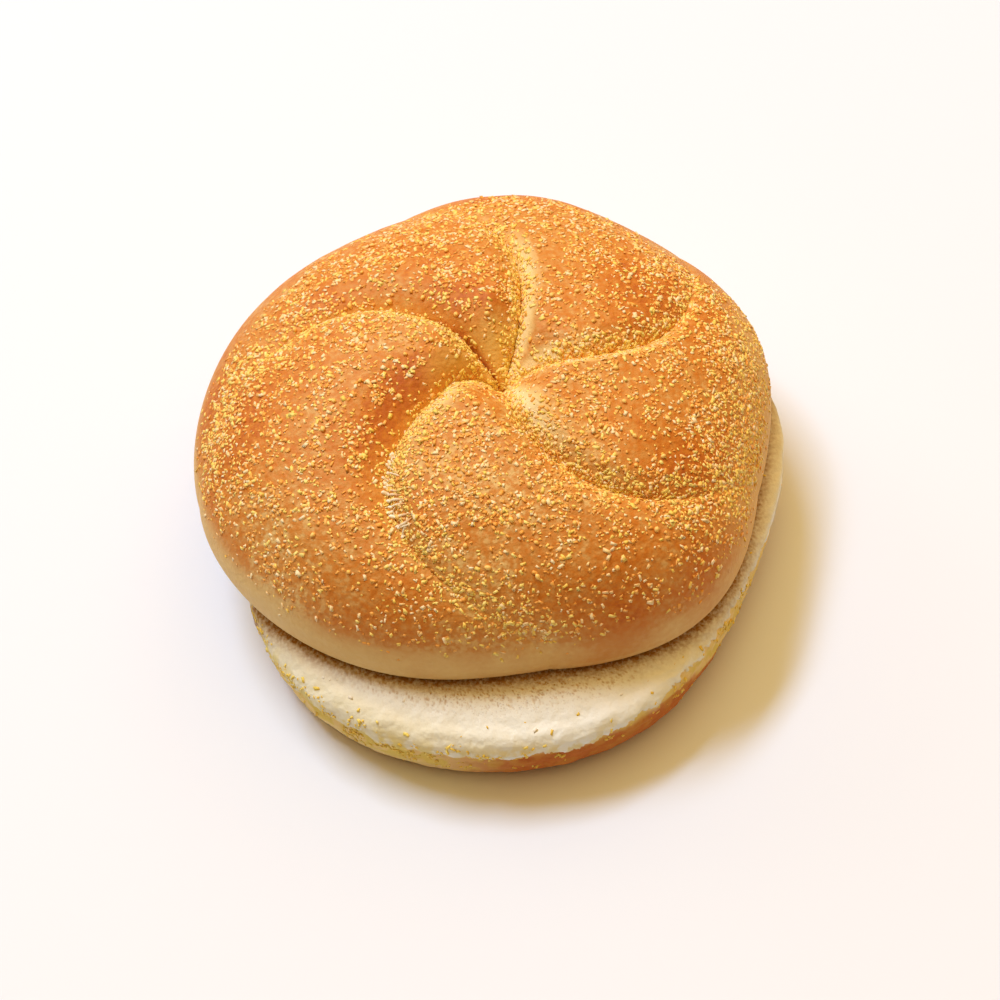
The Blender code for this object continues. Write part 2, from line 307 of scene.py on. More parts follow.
# How thickly and how widely the meal lies on each side of a fold, and how bare the skin is beyond
MEAL_LEFT = np.array([1.8, 2.4, 2.6, 1.8, 2.2])
MEAL_RIGHT = np.array([1.2, 1.5, 0.5, 1.0, 1.2])
MEAL_LEFT_WIDTH = np.array([2.6, 1.8, 3.5, 4.6, 2.2]) * MM
MEAL_RIGHT_WIDTH = np.array([1.8, 2.2, 1.2, 1.5, 1.8]) * MM
BARE_LEFT = np.array([0.0, 0.0, 0.2, 0.0, 0.3])
BARE_RIGHT = np.array([0.0, 0.7, 0.4, 0.9, 0.2])
BARE_REACH = 4.8 * MM
# Towards the rim the folds run out, and the meal lies alike along all of them
RUN_OUT_SHARES = (0.5, 0.78)
RUN_OUT_MEAL = 0.85
RUN_OUT_MEAL_WIDTH = 4.0 * MM
# Where the crust is darker or lighter, partly uneven bake and partly painted light and shade:
# darker low on the right front and on slopes turned from the light, paler on the dim front.
# Each: the way from the pole, how far, how wide, how much
BAKE_LIGHT_AND_SHADE_PATCHES = (
    (151, 38, 9, 0.20),
    (30, 33, 11, 0.36),
    (328, 40, 9, 0.30),
    (295, 49, 9, 0.20),
    (250, 50, 8, 0.10),
    (186, 38, 9, -0.10),
    (262, 24, 9, -0.06),
    (268, 42, 14, -0.10),
    (186, 52, 14, 0.36),
    (190, 19, 7, 0.14),
    (92, 48, 15, 0.16),
    (118, 27, 10, 0.18),
    (213, 32, 6, 0.22),
    (106, 17, 8, 0.20),
    (222, 50, 10, -0.12),
    (2, 50, 9, -0.15),
)
# How far the painted shade inside the torn crevice and inside the hole in the middle reaches
CREVICE_SHADE_WIDTH = 0.75 * MM
HOLE_SHADE_WIDTH = 1.3 * MM


def towards(points, degrees):
    """1 for points that lie straight in a direction from the axis, 0 at its sides and -1 behind."""
    return np.cos(np.arctan2(points[:, 1], points[:, 0]) - math.radians(degrees))


def crust_fields(points, share, lobe, past_first, to_second):
    """How pale the skin is, how brown from its bake and from painted light and shade, how ochre it is,
    how thickly the meal lies in the folds, how bare of meal the skin beside them is, and how far out each
    point is."""
    after = (lobe + 1) % 5
    pale, ochre, band, bare = np.zeros((4, len(share)))
    outer = ease(*RUN_OUT_SHARES, share)
    sides = (
        (lobe, past_first, PALE_LEFT, PALE_LEFT_UNTIL, MEAL_LEFT, MEAL_LEFT_WIDTH, BARE_LEFT),
        (after, to_second, PALE_RIGHT, PALE_RIGHT_UNTIL, MEAL_RIGHT, MEAL_RIGHT_WIDTH, BARE_RIGHT),
    )
    for fold, distance, width, until, thick, meal_width, cleared in sides:
        spread = width[fold] * (0.6 + 0.4 * ease(0.0, 0.2, share)) + PALE_SPREAD * ease(0.5, 0.95, share)
        inner = 1 - 0.95 * ease(until[fold] - PALE_FADE, until[fold] + PALE_FADE, share)
        pale = np.maximum(pale, np.exp(-((distance / spread) ** 3)) * inner)
        widening = meal_width[fold] + (RUN_OUT_MEAL_WIDTH - meal_width[fold]) * ease(0.4, 0.85, share)
        meal = thick[fold] + (RUN_OUT_MEAL - thick[fold]) * outer
        band = np.maximum(band, np.exp(-((distance / widening) ** 2)) * meal)
        bare = np.maximum(bare, np.exp(-((distance / BARE_REACH) ** 4)) * cleared[fold] * (1 - outer))
        ochre = np.maximum(ochre, 0.6 * (1 - 0.6 * outer) * np.exp(-distance / OCHRE_WIDTH))

    # The side is paler below its widest ring, and dried ochre on the right
    side_pale = SIDE_PALE + SIDE_PALER * ease(0.4, 0.95, towards(points, 218))
    pale = np.maximum(pale, side_pale * ease(0.955, 1.0, share))
    right_side = ease(0.75, 0.98, towards(points, 0))
    ochre = np.maximum(ochre, 0.8 * right_side * ease(0.82, 0.97, share))

    # The second lobe's tip and the third lobe's slope into the fourth fold dried to a plain ochre
    tip = 1 - ease(0.11, 0.27, share)
    ochre = np.maximum(ochre, tip * (lobe == 1))
    slope = (after == 3) * (1 - ease(5 * MM, 12 * MM, to_second)) * ease(0.4 * MM, 2 * MM, to_second)
    ochre = np.maximum(ochre, 0.7 * slope * (1 - ease(0.14, 0.3, share)))
    # Down the middle of that slope the crust is darker, partly painted shade where the slope turns from the
    # light
    bake = 0.28 * slope * ease(0.12, 0.22, share) * (1 - ease(0.38, 0.6, share))
    for degrees, reach, width, much in BAKE_LIGHT_AND_SHADE_PATCHES:
        turn = math.radians(degrees)
        middle = SWIRL_POLE + reach * MM * np.array([math.cos(turn), math.sin(turn)])
        away = np.hypot(points[:, 0] - middle[0], points[:, 1] - middle[1])
        bake = bake + much * np.exp(-((away / (width * MM)) ** 2))

    # Painted shade: the torn crevice of the third fold, and the hole that the folds meet in, are darkened
    # inside
    torn = np.minimum(np.where(lobe == 2, past_first, 1.0), np.where(after == 2, to_second, 1.0))
    dark = np.exp(-((torn / CREVICE_SHADE_WIDTH) ** 2)) * (1 - ease(0.24, 0.42, share))
    dark = np.maximum(dark, np.exp(-((share * BUN_RADIUS / HOLE_SHADE_WIDTH) ** 4)))
    pale = pale * (1 - dark)
    ochre = ochre * (1 - dark)
    bake = bake + 0.7 * dark
    return {"pale": pale, "bake": bake, "ochre": ochre, "fold_meal": band, "bare": bare, "out": share}


def make_crown():
    """The whole crown as one closed mesh: dome, belly and cut face."""
    points, *places = crown_top()
    spokes = 5 * SPOKES_A_LOBE
    below = BELLY_RINGS + CUT_RINGS
    rim = points[-spokes:]
    rings = [points]
    for step in np.linspace(0, 1, BELLY_RINGS + 1)[1:]:
        scale = 1 - (1 - CROWN_CUT_SHARE) * step**2
        rings.append(np.column_stack([rim[:, :2] * scale, np.full(spokes, BELLY_HEIGHT * (1 - step))]))
    for step in np.linspace(1, 0, CUT_RINGS + 1)[1:]:
        rings.append(np.column_stack([rim[:, :2] * CROWN_CUT_SHARE * step, np.zeros(spokes)]))
    fields = {"cut": np.repeat([0.0, 1.0], [len(points) + BELLY_RINGS * spokes, CUT_RINGS * spokes])}
    for field, values in crust_fields(points, *places).items():
        carried_down = values[-spokes:] if field in ("pale", "out") else np.zeros(spokes)
        fields[field] = np.concatenate([values, np.tile(carried_down, below)])
    faces = grid_faces(DOME_RINGS + 1 + below, spokes)
    return make_mesh("crown_crust", np.concatenate(rings), faces, fields)


crown = make_crown()
crown_axis = set_in_frame(crown, "crown")
close_pole(crown)
crown.data.shade_smooth()


def linear(tone):
    """A colour written in sRGB hex, as the linear values that a shader takes."""
    parts = [int(tone[i : i + 2], 16) / 255 for i in (1, 3, 5)]
    return [p / 12.92 if p <= 0.04045 else ((p + 0.055) / 1.055) ** 2.4 for p in parts] + [1.0]


def start_material(name, roughness, ior):
    """A new material with its node tree and the one shader that all its looks go to."""
    material = bpy.data.materials.new(name)
    material.use_nodes = True
    shader = material.node_tree.nodes["Principled BSDF"]
    shader.inputs["Roughness"].default_value = roughness
    shader.inputs["IOR"].default_value = ior
    return material, material.node_tree, shader


def put(tree, kind, inputs=(), out=0, **settings):
    """Adds one node with its own settings and gives one output of it. Each of its inputs takes a
    value or the output that feeds it."""
    node = tree.nodes.new(kind)
    for setting, value in settings.items():
        setattr(node, setting, value)
    for socket, value in dict(inputs).items():
        if isinstance(value, bpy.types.NodeSocket):
            tree.links.new(value, node.inputs[socket])
        else:
            node.inputs[socket].default_value = value
    return node.outputs[out]


# From stretched raw-looking skin to the darkest bake
CRUST_TONES = (
    (0.0, "#FDE5AA"),
    (0.22, "#EAC178"),
    (0.45, "#D79040"),
    (0.7, "#D37A1E"),
    (1.0, "#BE5C0F"),
)
DRIED_OCHRE = "#EEB95B"


def baked_crust():
    """Baked wheat crust: sugars in the dough's skin browned in the oven, dry and nearly matt.
    The eye sees orange-brown patches about 12 mm wide, specks of 1.2 mm and a leathery grain."""
    material, tree, shader = start_material("baked_crust", roughness=0.6, ior=1.38)
    place = put(tree, "ShaderNodeTexCoord", out="Object")
    pale, bake, ochre = (
        put(tree, "ShaderNodeAttribute", out="Fac", attribute_name=field)
        for field in ("pale", "bake", "ochre")
    )
    patches, mottle, grain = (
        put(tree, "ShaderNodeTexNoise", {"Vector": place, "Scale": 1 / (width * MM), "Detail": detail})
        for width, detail in ((12, 3.0), (1.2, 5.0), (0.9, 4.0))
    )
    browned = put(tree, "ShaderNodeMapRange", {0: patches, 1: 0.3, 2: 0.7, 3: 0.40, 4: 0.64})
    # The bake field also carries painted shade in the crevices and painted light and shade in the patches
    placed = put(tree, "ShaderNodeMath", {0: browned, 1: bake}, operation="ADD")
    speckled = put(tree, "ShaderNodeMapRange", {0: mottle, 1: 0.36, 2: 0.64, 3: -0.16, 4: 0.16})
    clear = put(tree, "ShaderNodeMapRange", {0: pale, 1: 0.0, 2: 0.4, 3: 1.0, 4: 0.2})
    specks = put(tree, "ShaderNodeMath", {0: speckled, 1: clear}, operation="MULTIPLY")
    baked = put(tree, "ShaderNodeMath", {0: placed, 1: specks}, operation="ADD")
    kept = put(tree, "ShaderNodeMath", {0: 1.0, 1: pale}, operation="SUBTRACT")
    tone = put(tree, "ShaderNodeMath", {0: baked, 1: kept}, operation="MULTIPLY", use_clamp=True)
    colour = put(tree, "ShaderNodeValToRGB", {0: tone})
    stops = colour.node.color_ramp.elements
    for stop, (position, shade) in zip(stops, (CRUST_TONES[0], CRUST_TONES[-1])):
        stop.position, stop.color = position, linear(shade)
    for position, shade in CRUST_TONES[1:-1]:
        stops.new(position).color = linear(shade)
    dried = put(tree, "ShaderNodeMix", {0: ochre, 6: colour, 7: linear(DRIED_OCHRE)}, out=2, data_type="RGBA")
    tree.links.new(dried, shader.inputs["Base Color"])
    bump = put(tree, "ShaderNodeBump", {"Height": grain, "Strength": 0.7, "Distance": 0.35 * MM})
    tree.links.new(bump, shader.inputs["Normal"])
    return material


def bread_crumb():
    """White bread crumb, as the knife left it: set foam of gluten and starch, with a pore every
    0.8 mm. It looks cream and soft and quite matt, with tan in the pores."""
    material, tree, shader = start_material("bread_crumb", roughness=0.85, ior=1.4)
    place = put(tree, "ShaderNodeTexCoord", out="Object")
    cells = put(tree, "ShaderNodeTexVoronoi", {"Vector": place, "Scale": 1 / (0.8 * MM)})
    wall = put(tree, "ShaderNodeMapRange", {0: cells, 1: 0.05, 2: 0.42, 3: 0.0, 4: 1.0})
    spots = put(tree, "ShaderNodeTexNoise", {"Vector": place, "Scale": 1 / (4 * MM), "Detail": 4.0})
    cream = {0: spots, 6: linear("#E6D2AC"), 7: linear("#F0E3C6")}
    cream = put(tree, "ShaderNodeMix", cream, out=2, data_type="RGBA")
    porous = put(tree, "ShaderNodeMix", {0: wall, 6: linear("#C9A468"), 7: cream}, out=2, data_type="RGBA")
    tree.links.new(porous, shader.inputs["Base Color"])
    bump = put(tree, "ShaderNodeBump", {"Height": wall, "Strength": 0.6, "Distance": 0.3 * MM})
    tree.links.new(bump, shader.inputs["Normal"])
    return material


crown.data.materials.append(baked_crust())
crown.data.materials.append(bread_crumb())
cut = field_values(crown.data, "cut")
for face in crown.data.polygons:
    face.material_index = int(min(cut[v] for v in face.vertices) > 0.5)
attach(crown, "root")
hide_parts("crown")

# ---------------------------------------------------------------------------------------------
# The cornmeal: coarse yellow maize meal that the dough was pressed into before it was proofed.
# The grains are split angular chips, glassy yellow to cream, a few toasted, stuck on the crust
# and lying thickest in the folds.
MEAL_SEED = 11
# How far out the meal lies, as a share of the way to the rim, how much less far at the back, and
# over how much it thins out
MEAL_EDGE = 0.93
MEAL_EDGE_BACK = 0.11
MEAL_EDGE_WIDTH = 0.07
MEAL_CLUMPS = 6 * MM
RIM_MEAL = 0.8


def meal_thickness():
    """How thickly the meal lies at the crown's points: dusted all over, and gathered in the folds."""
    places = point_places(crown.data)
    out = field_values(crown.data, "out")
    from_axis = places - np.array(crown_axis)
    clumps = cloudy(places, MEAL_CLUMPS, 0.8, 2.1, 3)
    front_low = ease(0.55, 0.85, out) * ease(0.3, 0.9, towards(from_axis, 270))
    edge = MEAL_EDGE - MEAL_EDGE_BACK * ease(-0.1, 0.5, towards(from_axis, 90))
    on_top = 1 - ease(edge, edge + MEAL_EDGE_WIDTH, out)
    dusted = on_top * np.clip(0.9 + 1.2 * clumps, 0.15, 2.0) * (1 - 0.6 * front_low)
    dusted = dusted * (1 - 0.7 * ease(0.2, 0.5, field_values(crown.data, "bake")))
    dusted = dusted * (0.25 + 0.75 * ease(0.1, 0.3, out)) * (1 - field_values(crown.data, "bare"))
    in_folds = field_values(crown.data, "fold_meal") * on_top * (1 - 0.1 * front_low)

    # The right side of the rim lay against the next bun and kept more of its meal
    on_rim = ease(0.8, 0.98, towards(from_axis, 0)) * ease(0.7, 0.85, out) * (1 - ease(0.96, 1.0, out))
    return dusted, in_folds + RIM_MEAL * on_rim


def scatter(piece, density, count, draw):
    """Random places on a piece, likelier where its density is high: points and the way they face."""
    mesh = piece.data
    mesh.calc_loop_triangles()
    corners = np.zeros(len(mesh.loop_triangles) * 3, np.int32)
    mesh.loop_triangles.foreach_get("vertices", corners)
    corners = corners.reshape(-1, 3)
    places = point_places(mesh)
    a, b, c = (places[corners[:, i]] for i in range(3))
    facing = np.cross(b - a, c - a)
    area = np.linalg.norm(facing, axis=1)
    weight = area * density[corners].mean(1)
    picked = draw.choice(len(corners), count, p=weight / weight.sum())
    u, v = draw.random((2, count))
    over = u + v > 1
    u[over], v[over] = 1 - u[over], 1 - v[over]
    u, v = u[:, None], v[:, None]
    points = a[picked] + u * (b - a)[picked] + v * (c - a)[picked]
    return points, facing[picked] / area[picked, None]


# A chip starts as a cube, with two triangles a side, and is then broken out of shape
CHIP_HALF = 0.62
CHIP_BREAKS = (0.55, 1.3)
CHIP_CORNERS = np.array([[x, y, z] for z in (-1, 1) for y in (-1, 1) for x in (-1, 1)]) * CHIP_HALF
CHIP_FACES = np.array(
    [[0, 2, 3], [0, 3, 1], [4, 5, 7], [4, 7, 6], [0, 1, 5], [0, 5, 4]]
    + [[2, 6, 7], [2, 7, 3], [0, 4, 6], [0, 6, 2], [1, 3, 7], [1, 7, 5]]
)
CHIP_PROPORTIONS = ((1.1, 1.8), (0.65, 1.0), (0.28, 0.45))
CHIP_TILT = 0.22


def make_chips(name, points, facings, sizes, sink, draw):
    """Cracked angular chips lying on a surface, each broken and turned in its own way."""
    count = len(points)
    broken = CHIP_CORNERS[None] * draw.uniform(*CHIP_BREAKS, (count, len(CHIP_CORNERS), 3))
    stretch = np.stack([draw.uniform(*span, count) for span in CHIP_PROPORTIONS], -1)
    broken = broken * stretch[:, None, :] * sizes[:, None, None] / 2
    spin = draw.uniform(0, 2 * math.pi, count)
    helper = np.where(np.abs(facings[:, 2:]) < 0.9, [[0.0, 0.0, 1.0]], [[1.0, 0.0, 0.0]])
    across = np.cross(facings, helper)
    across /= np.linalg.norm(across, axis=1)[:, None]
    along = np.cross(facings, across)
    x = across * np.cos(spin)[:, None] + along * np.sin(spin)[:, None]
    up = facings + draw.normal(0, CHIP_TILT, (count, 3))
    up /= np.linalg.norm(up, axis=1)[:, None]
    y = np.cross(up, x)
    y /= np.linalg.norm(y, axis=1)[:, None]
    x = np.cross(y, up)
    lying = sum(broken[:, :, i, None] * way[:, None] for i, way in enumerate((x, y, up)))
    placed = points[:, None] + lying + facings[:, None] * (sizes * sink)[:, None, None]
    faces = CHIP_FACES[None] + (np.arange(count) * len(CHIP_CORNERS))[:, None, None]
    fields = {
        "tone": np.repeat(draw.random(count), len(CHIP_CORNERS)),
        "foot": np.tile(CHIP_CORNERS[:, 2] < 0, count),
    }
    return make_mesh(name, placed.reshape(-1, 3), faces.reshape(-1, 3), fields)


def cornmeal(name, dark, light, foot_tone_and_shade="#F09226"):
    """Coarse maize meal: split hard endosperm with flecks 0.4 mm wide, waxy, so it glints pale.
    Its foot takes on the crust's orange, partly the crust's own tone and partly painted shade."""
    material, tree, shader = start_material(name, roughness=0.55, ior=1.42)
    tone, foot = (
        put(tree, "ShaderNodeAttribute", out="Fac", attribute_name=field) for field in ("tone", "foot")
    )
    place = put(tree, "ShaderNodeTexCoord", out="Object")
    flecks = put(tree, "ShaderNodeTexNoise", {"Vector": place, "Scale": 1 / (0.4 * MM), "Detail": 2.0})
    varied = put(tree, "ShaderNodeMath", {0: tone, 1: flecks}, operation="MULTIPLY")
    chip = {0: varied, 6: linear(dark), 7: linear(light)}
    chip = put(tree, "ShaderNodeMix", chip, out=2, data_type="RGBA")
    # The foot's orange is partly crust tone and partly painted shade, so sides turned from the light look
    # warm
    crust_and_shade_foot_share = put(tree, "ShaderNodeMath", {0: foot, 1: 0.7}, operation="MULTIPLY")
    stuck = put(tree, "ShaderNodeMix", {0: crust_and_shade_foot_share, 6: chip, 7: linear(foot_tone_and_shade)}, out=2, data_type="RGBA")
    tree.links.new(stuck, shader.inputs["Base Color"])
    return material


draw = np.random.default_rng(MEAL_SEED)
dusted, in_folds = meal_thickness()
MEAL_KINDS = (
    # name, dark tone, light tone, tone of its foot with its painted shade, how many, size in mm, how thickly
    # it lies
    ("meal_cream", "#FFD285", "#FFF8D2", "#F09226", 4600, 0.80, dusted + 0.4 * in_folds),
    ("meal_yellow", "#FFD35A", "#FFF29C", "#F6B43A", 8800, 0.78, 0.40 * dusted + 1.2 * in_folds),
    ("meal_golden", "#F6A740", "#FFCB72", "#F09226", 7400, 0.76, dusted + 0.2 * in_folds),
)
for name, dark, light, foot_tone_and_shade, count, size, density in MEAL_KINDS:
    points, facings = scatter(crown, density, count, draw)
    sizes = size * MM * np.clip(draw.lognormal(0, 0.28, count), 0.5, 1.7)
    chips = make_chips(name, points, facings, sizes, 0.0, draw)
    chips.data.shade_smooth()
    chips.data.materials.append(cornmeal(name, dark, light, foot_tone_and_shade))
    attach(chips, "root")

# The coarsest grains lie at the solid's own places, each turned on by the golden angle
COARSE_COUNT = 165
COARSE_SIZE = 1.1 * MM
COARSE_REACH = 0.86
COARSE_SEED = 7
COARSE_OUT = 0.12
# The step along the crown that its slope is felt with
SLOPE_STEP = 0.004


def crown_points(lobe, across, share):
    """Points of the crown at places across its lobes and shares of the way to the rim, and the
    directions that the dome faces there."""
    angle, drop, _, _ = swirl(lobe, across, share)
    plan = SWIRL_POLE + share[:, None] * (rim_from_pole(angle) - SWIRL_POLE)
    points, facing = plain_dome(plan)
    return points - facing * drop[:, None], facing


def crown_at(lobe, across, share):
    """One point of the crown."""
    points, _ = crown_points(np.array([lobe]), np.array([across]), np.array([share]))
    return Vector(points[0])


def coarse_places(pick):
    """Evenly spread places on the crown: the lobe, how far across it and how far out."""
    golden = math.pi * (3 - math.sqrt(5))
    for number in range(COARSE_COUNT):
        share = COARSE_REACH * math.sqrt((number + 4) / (COARSE_COUNT + 4))
        share += pick.uniform(-0.02, 0.02)
        angle = (number * golden + pick.uniform(-0.06, 0.06)) % (2 * math.pi)
        for lobe in range(5):
            first, second = lobe_sides(lobe, share)
            across = (angle - first) % (2 * math.pi) / (second - first)
            if across < 1:
                yield lobe, across, share


def make_coarse_grains():
    """The coarse grains, each a small angular stone that leans its own way on the crust."""
    pick = random.Random(COARSE_SEED)
    points, faces, tones, feet = [], [], [], []
    for lobe, across, share in coarse_places(pick):
        size = COARSE_SIZE * pick.uniform(0.8, 1.15)
        stone = bmesh.new()
        bmesh.ops.create_icosphere(stone, subdivisions=1, radius=size / 2)
        stretch = Matrix.Diagonal((pick.uniform(1.0, 1.35), pick.uniform(0.8, 1.0), 0.85))
        lean = [pick.uniform(-0.5, 0.5) for _ in range(2)]
        tumble = Euler([*lean, pick.uniform(0, 2 * math.pi)]).to_matrix()
        here = crown_at(lobe, across, share)
        outward = crown_at(lobe, across, share + SLOPE_STEP) - here
        aside = SLOPE_STEP if across < 0.5 else -SLOPE_STEP
        around = crown_at(lobe, across + aside, share) - here
        facing = outward.cross(around).normalized()
        facing = facing if facing.z > 0 else -facing
        upright = facing.to_track_quat("Z", "Y").to_matrix()
        start = len(points)
        for corner in stone.verts:
            lying = tumble @ stretch @ corner.co
            points.append(here + facing * size * COARSE_OUT + upright @ lying + crown_axis)
            feet.append(float(lying.z < 0))
            tones.append(size / COARSE_SIZE * 2 - 1.4)
        faces += [[start + corner.index for corner in face.verts] for face in stone.faces]
        stone.free()
    fields = {"tone": np.array(tones), "foot": np.array(feet)}
    return make_mesh("coarse_grains", np.array(points), np.array(faces), fields)


coarse = make_coarse_grains()
coarse.data.materials.append(cornmeal("coarse_meal", "#FEBB4A", "#FFE793"))
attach(coarse, "root")

# ---------------------------------------------------------------------------------------------
# The stretched strands: where the fourth lobe's edge pulled away from the third one in the oven,
# the wet gluten drew out into a comb of short pale strands across the fold before it set.
STRAND_FOLD = 3
STRAND_COUNT = 16
STRAND_SHARES = (0.475, 0.675)
STRAND_FROM = -2.6 * MM
STRAND_TO = 1.1 * MM
STRAND_RADIUS = 0.55 * MM
STRAND_STATIONS = 13
STRAND_SIDES = 6
STRAND_SEED = 3


def beside_fold(fold, aside, share):
    """Points of the crown at distances to the right (above 0) or left of a fold, and their facing."""
    right = aside > 0
    lobe = np.where(right, (fold - 1) % 5, fold)
    first, second = lobe_sides(lobe, share)
    step = np.abs(aside) / (share * BUN_RADIUS * (second - first) * narrowing(fold, share))
    across = np.where(right, 1 - step, step)
    points, facing = crown_points(lobe, across, share)
    return points + np.array(crown_axis), facing


def make_strands():
    """Tapering strands that lie over the fold, each from one lobe's edge to the other's slope."""
    pick = random.Random(STRAND_SEED)
    points, faces, tones = [], [], []
    for number in range(STRAND_COUNT):
        place = (number + pick.uniform(-0.25, 0.25)) / (STRAND_COUNT - 1)
        share = STRAND_SHARES[0] + (STRAND_SHARES[1] - STRAND_SHARES[0]) * place
        far = STRAND_TO * pick.uniform(0.55, 1.1) * (1 - 0.35 * abs(2 * place - 1))
        near = STRAND_FROM * pick.uniform(0.5, 1.2)
        along = np.linspace(0, 1, STRAND_STATIONS)
        tilt = -0.025 + 0.07 * place + pick.uniform(-0.008, 0.008)
        shares = share + tilt * (along - 0.4) + 0.003 * np.sin(3 * along + number)
        spine, facing = beside_fold(STRAND_FOLD, near + (far - near) * along, shares)
        blunt = np.sqrt(1 - (2 * along - 1) ** 8)
        thick = STRAND_RADIUS * pick.uniform(0.75, 1.2) * (0.3 + 0.7 * along) * blunt
        run = np.gradient(spine, axis=0)
        run /= np.linalg.norm(run, axis=1)[:, None]
        aside = np.cross(facing, run)
        start = len(points) * STRAND_STATIONS * STRAND_SIDES
        ring = []
        for turn in np.arange(STRAND_SIDES) * 2 * math.pi / STRAND_SIDES:
            out_way = aside * math.cos(turn) + facing * (math.sin(turn) * 0.7 + 0.55)
            ring.append(spine + out_way * thick[:, None])
        points.append(np.stack(ring, 1).reshape(-1, 3))
        faces.append(grid_faces(STRAND_STATIONS, STRAND_SIDES) + start)
        fade = np.clip(1.1 - 1.4 * along, 0, 1) ** 1.3
        tones.append(np.repeat(np.maximum(fade, 0.3 * pick.random()), STRAND_SIDES))
    fields = {"tone": np.concatenate(tones)}
    return make_mesh("stretched_strands", np.concatenate(points), np.concatenate(faces), fields)


def gluten_strand():
    """Stretched gluten: dough skin drawn thin, dried cream-white before it could brown, with
    toasted blotches 1.2 mm wide towards its thin end and the faint shine of a thin film."""
    material, tree, shader = start_material("gluten_strand", roughness=0.5, ior=1.45)
    tone = put(tree, "ShaderNodeAttribute", out="Fac", attribute_name="tone")
    place = put(tree, "ShaderNodeTexCoord", out="Object")
    blotch = put(tree, "ShaderNodeTexNoise", {"Vector": place, "Scale": 1 / (1.2 * MM), "Detail": 3.0})
    doubled = put(tree, "ShaderNodeMath", {0: blotch, 1: 2.0}, operation="MULTIPLY")
    toasted = put(tree, "ShaderNodeMath", {0: tone, 1: doubled}, operation="MULTIPLY", use_clamp=True)
    skin = {0: toasted, 6: linear("#FFF4D0"), 7: linear("#E9A95D")}
    skin = put(tree, "ShaderNodeMix", skin, out=2, data_type="RGBA")
    tree.links.new(skin, shader.inputs["Base Color"])
    return material


strands = make_strands()
strands.data.materials.append(gluten_strand())
strands.data.shade_smooth()
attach(strands, "root")

# ---------------------------------------------------------------------------------------------
# The heel: the bottom half, cut off level. Its cut face is soft white crumb with fine pores, its
# front rim has rounded over and torn, and a thin skin runs round its side, pale above and browned
# below, where the dough stood on the oven's hot stone.
HEEL_HEIGHT = 17.5 * MM
HEEL_WAVES = ((2, 2.6, 45), (3, 1.9, 24), (4, 1.6, 36))
HEEL_SIDE_SHARE = 0.955
HEEL_BASE_SHARE = 0.85
RIM_START = 0.78
RIM_FALL = 5.5 * MM
RIM_FALL_BACK = 1.0 * MM
RIM_ROUNDNESS = 2.0
BASE_ROUNDING = 8 * MM
HEEL_SPOKES = 900
HIDDEN_RINGS = 8
CRUMB_SHARE = 0.66
CRUMB_RINGS = 24
RIM_RINGS = 34
SIDE_RINGS = 32
BASE_RINGS = 3

# Finer than the solid: the torn edge of the crumb, wrinkles along the rim, pores and rough crumb
TORN_HEIGHT = 14.3 * MM
TORN_LOWER_AWAY = 2.2 * MM
TORN_LOWER_LEFT = 3.0 * MM
TORN_LIP = 0.45 * MM
TORN_SOFT = 0.75 * MM
TORN_SHARP = 0.18 * MM
WRINKLE_HEIGHT = 2.2 * MM
WRINKLE_DEPTH = 0.34 * MM
PORE_SEED = 5
PORE_COUNT = 9000
PORE_WIDTHS = (0.13 * MM, 0.28 * MM)
PORE_DEPTH = 0.26 * MM
BIG_PORES = 0.06
BIG_PORE_SIZE = 1.6
ROUGH_WIDTH = 1.1 * MM
ROUGH_DEPTH = 0.09 * MM
RELIEF_SUNK = 0.25 * MM

# The skin: brown crust up to a height that drops on the right, and a band of meal above it
CRUST_HEIGHT = 12.4 * MM
CRUST_DROP = 7 * MM
CRUST_FADE = (-1.2 * MM, 2.2 * MM)
MEAL_BAND_HEIGHT = 9.4 * MM
MEAL_BAND_WIDTH = 4.8 * MM
# How the browner foot, bake and painted shade, fades up from the base
FOOT_BAKE_AND_SHADE_FADE = (0.8 * MM, 3.6 * MM)


def heel_rings(angle):
    """The heel's rings from the middle of its top to the middle of its base, each as a share of
    the outline and its heights, with the numbers of the first rings on the side and on the base."""
    fall = RIM_FALL_BACK + (RIM_FALL - RIM_FALL_BACK) * ease(-0.3, 1.0, -np.sin(angle))
    level = np.full(HEEL_SPOKES, HEEL_HEIGHT)
    ground = np.zeros(HEEL_SPOKES)
    to_rim = RIM_START - CRUMB_SHARE
    rings = [(CRUMB_SHARE * step, level) for step in np.linspace(0, 1, HIDDEN_RINGS + 1)[:-1]]
    rings += [(CRUMB_SHARE + to_rim * step, level) for step in np.linspace(0, 1, CRUMB_RINGS)]
    for step in np.sin(math.pi / 2 * np.linspace(0, 1, RIM_RINGS)[1:]):
        drop = fall * (1 - (1 - step**RIM_ROUNDNESS) ** (1 / RIM_ROUNDNESS))
        rings.append((RIM_START + (HEEL_SIDE_SHARE - RIM_START) * step, HEEL_HEIGHT - drop))
    side_ring = len(rings)
    for step in np.linspace(1, 0, SIDE_RINGS)[1:]:
        near_base = max(0.0, 1 - (HEEL_HEIGHT - RIM_FALL) * step / BASE_ROUNDING)
        tuck = (HEEL_SIDE_SHARE - HEEL_BASE_SHARE) * (1 - math.sqrt(1 - near_base**2))
        rings.append((HEEL_SIDE_SHARE - tuck, (HEEL_HEIGHT - fall) * step))
    base_ring = len(rings)
    rings += [(HEEL_BASE_SHARE * step, ground) for step in np.linspace(1, 0, BASE_RINGS + 1)[1:]]
    return rings, side_ring, base_ring


